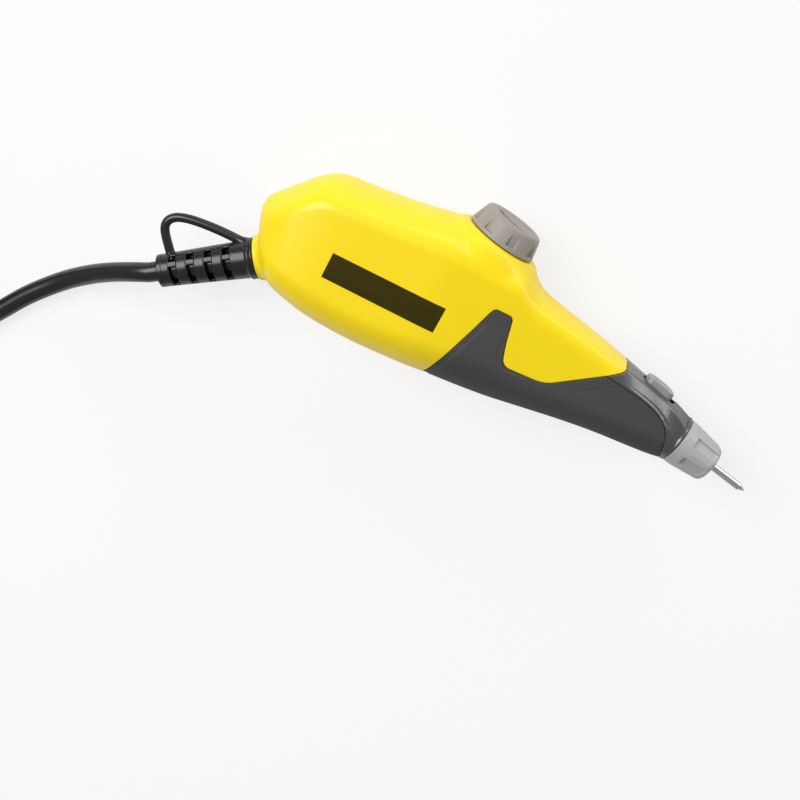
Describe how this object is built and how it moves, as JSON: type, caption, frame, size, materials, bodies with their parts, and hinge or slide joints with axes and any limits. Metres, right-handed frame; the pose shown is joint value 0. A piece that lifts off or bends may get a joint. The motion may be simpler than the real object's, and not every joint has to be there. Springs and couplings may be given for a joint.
{
  "type": "electric engraving pen",
  "caption": "Corded electric engraving pen with a needle, a stroke dial, a slide switch on the nose and a slotted cord boot with a hanging loop.",
  "frame": {"origin": "on the surface that the pen lies on, under the middle of its flat left side", "axes": "+X towards the needle, +Y towards the stroke dial, +Z from the left side to the right side"},
  "size_m": [0.3683, 0.1493, 0.034],
  "materials": {
    "yellow_plastic": "semi-gloss",
    "soft_grip": "matt",
    "hard_grey_plastic": "satin",
    "dial_grey_plastic": "satin",
    "button_grey_plastic": "satin",
    "nut_grey_plastic": "satin",
    "nylon": "satin",
    "black_plastic": "satin",
    "brown_insulation": "satin",
    "blue_insulation": "satin",
    "black_rubber": "satin",
    "cord_jacket": "semi-gloss",
    "needle_steel": "polished",
    "turned_steel": "turned",
    "spring_steel": "satin",
    "screw_steel": "zinc plated",
    "lever_steel": "stamped",
    "laminated_iron": "laminated",
    "brass": "turned",
    "copper_wire": "enamelled",
    "plug_pin_metal": "nickel plated"
  },
  "bodies": {
    "pen": {"housing_right": "yellow_plastic", "housing_left": "yellow_plastic", "grip_right": "soft_grip", "grip_left": "soft_grip", "nose_sleeve": "hard_grey_plastic", "housing_screw_1": "screw_steel", "housing_screw_2": "screw_steel", "housing_screw_3": "screw_steel", "housing_screw_4": "screw_steel", "housing_screw_5": "screw_steel", "switch_base": "black_plastic", "switch_contact_1": "brass", "switch_contact_2": "brass", "guide_bush": "brass", "needle_spring": "spring_steel", "core_stack": "laminated_iron", "coil_bobbin": "black_plastic", "coil_winding": "copper_wire", "pivot_pin": "turned_steel", "armature_spring": "spring_steel", "stop_pad": "black_rubber", "strain_relief": "black_rubber", "cord_tail": "cord_jacket", "cord_clamp": "nylon", "clamp_screw_1": "screw_steel", "clamp_screw_2": "screw_steel", "lead_live": "brown_insulation", "lead_neutral": "blue_insulation", "cord": "cord_jacket", "cord_coil": "cord_jacket", "cord_tie": "black_plastic", "plug_lead": "cord_jacket", "plug_body": "black_plastic", "plug_pin_1": "plug_pin_metal", "plug_pin_2": "plug_pin_metal"},
    "dial": {"stroke_dial": "dial_grey_plastic", "dial_shaft": "turned_steel", "dial_cam": "brass"},
    "switch": {"switch_button": "button_grey_plastic", "switch_slide": "nylon"},
    "nut": {"union_nut": "nut_grey_plastic"},
    "lever": {"armature_lever": "lever_steel", "armature_plate": "laminated_iron"},
    "striker": {"needle": "needle_steel", "needle_holder": "turned_steel"}
  },
  "joints": [
    {"name": "dial_turn", "type": "hinge", "parent": "pen", "child": "dial", "pos_m": [0.0344, 0.0236, 0.017], "axis": [0.2079, 0.9781, 0], "range_deg": [-135, 135]},
    {"name": "switch_slide", "type": "slide", "parent": "pen", "child": "switch", "axis": [0.9681, -0.2504, 0], "range_m": [0, 0.0012]},
    {"name": "nut_turn", "type": "hinge", "parent": "pen", "child": "nut", "pos_m": [0.1087, -0.0089, 0.017], "axis": [0.9751, -0.2215, 0], "range_deg": [0, 360]},
    {"name": "lever_swing", "type": "hinge", "parent": "pen", "child": "lever", "pos_m": [0.05115, -0.01172, 0.017], "axis": [0, 0, -1], "range_deg": [0, 2.2], "stiffness_Nm_per_rad": 0.5, "springref_deg": -5.73, "deforming": ["armature_spring"]},
    {"name": "needle_stroke", "type": "slide", "parent": "pen", "child": "striker", "axis": [0.9751, -0.2215, 0], "range_m": [0, 0.0006], "deforming": ["needle_spring"]}
  ],
  "couplings": [
    {"joint": "needle_stroke", "follows": "lever_swing", "m_per_rad": 0.0155}
  ]
}
